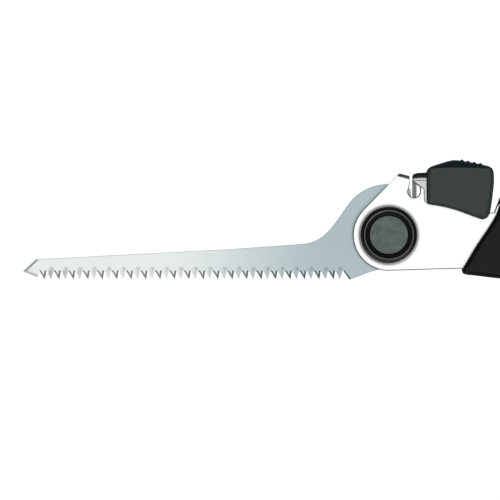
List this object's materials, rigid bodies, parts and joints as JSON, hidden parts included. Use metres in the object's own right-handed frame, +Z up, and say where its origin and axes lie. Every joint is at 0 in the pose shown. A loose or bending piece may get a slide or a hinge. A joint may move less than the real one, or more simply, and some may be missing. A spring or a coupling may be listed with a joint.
{
  "type": "folding drywall saw",
  "caption": "Folding drywall saw: coarse-toothed blade pivots into a steel channel with a black handle, held open by a sprung lever beside round pivot knobs.",
  "frame": {"origin": "on the blade's pivot axis, in the plane that the saw rests on when it lies on its side", "axes": "+X from the pivot towards the handle's end, +Y from the teeth towards the lever's side, +Z up through the tool's thickness along the pivot axis"},
  "size_m": [0.3928, 0.0807, 0.022],
  "materials": {
    "blade_steel": "brushed along the blade",
    "bright_chrome": "polished",
    "dark_steel": "dark satin",
    "knob_black": "gloss",
    "washer_plastic": "smooth",
    "lever_steel": "polished",
    "cover_rubber": "satin",
    "fastener_steel": "bright",
    "spring_steel": "oiled",
    "grip_plastic": "satin",
    "pad_rubber": "matt"
  },
  "bodies": {
    "handle": {"frame": "bright_chrome", "pivot_sleeve": "dark_steel", "pivot_screw": "dark_steel", "upper_pivot_knob": "knob_black", "lower_pivot_knob": "knob_black", "upper_pivot_washer": "washer_plastic", "lower_pivot_washer": "washer_plastic", "lever_pin": "fastener_steel", "lever_spring": "spring_steel", "spring_arbor": "fastener_steel", "upper_grip_shell": "grip_plastic", "lower_grip_shell": "grip_plastic", "upper_grip_pad": "pad_rubber", "lower_grip_pad": "pad_rubber", "grip_screws": "fastener_steel", "grip_barrel_nuts": "fastener_steel", "tip_rest": "pad_rubber", "tail_spacer": "fastener_steel", "lanyard_eyelet": "fastener_steel"},
    "saw_blade": {"blade": "blade_steel"},
    "lever": {"lock_lever": "lever_steel", "lever_cover": "cover_rubber"}
  },
  "joints": [
    {"name": "blade_fold", "type": "hinge", "parent": "handle", "child": "saw_blade", "pos_m": [0, 0, 0.011], "axis": [0, 0, 1], "range_deg": [0, 166]},
    {"name": "lock_lever", "type": "hinge", "parent": "handle", "child": "lever", "pos_m": [0.03, 0.0185, 0.011], "axis": [0, 0, 1], "range_deg": [-3, 5], "stiffness_Nm_per_rad": 0.4, "deforming": ["lever_spring"]}
  ]
}
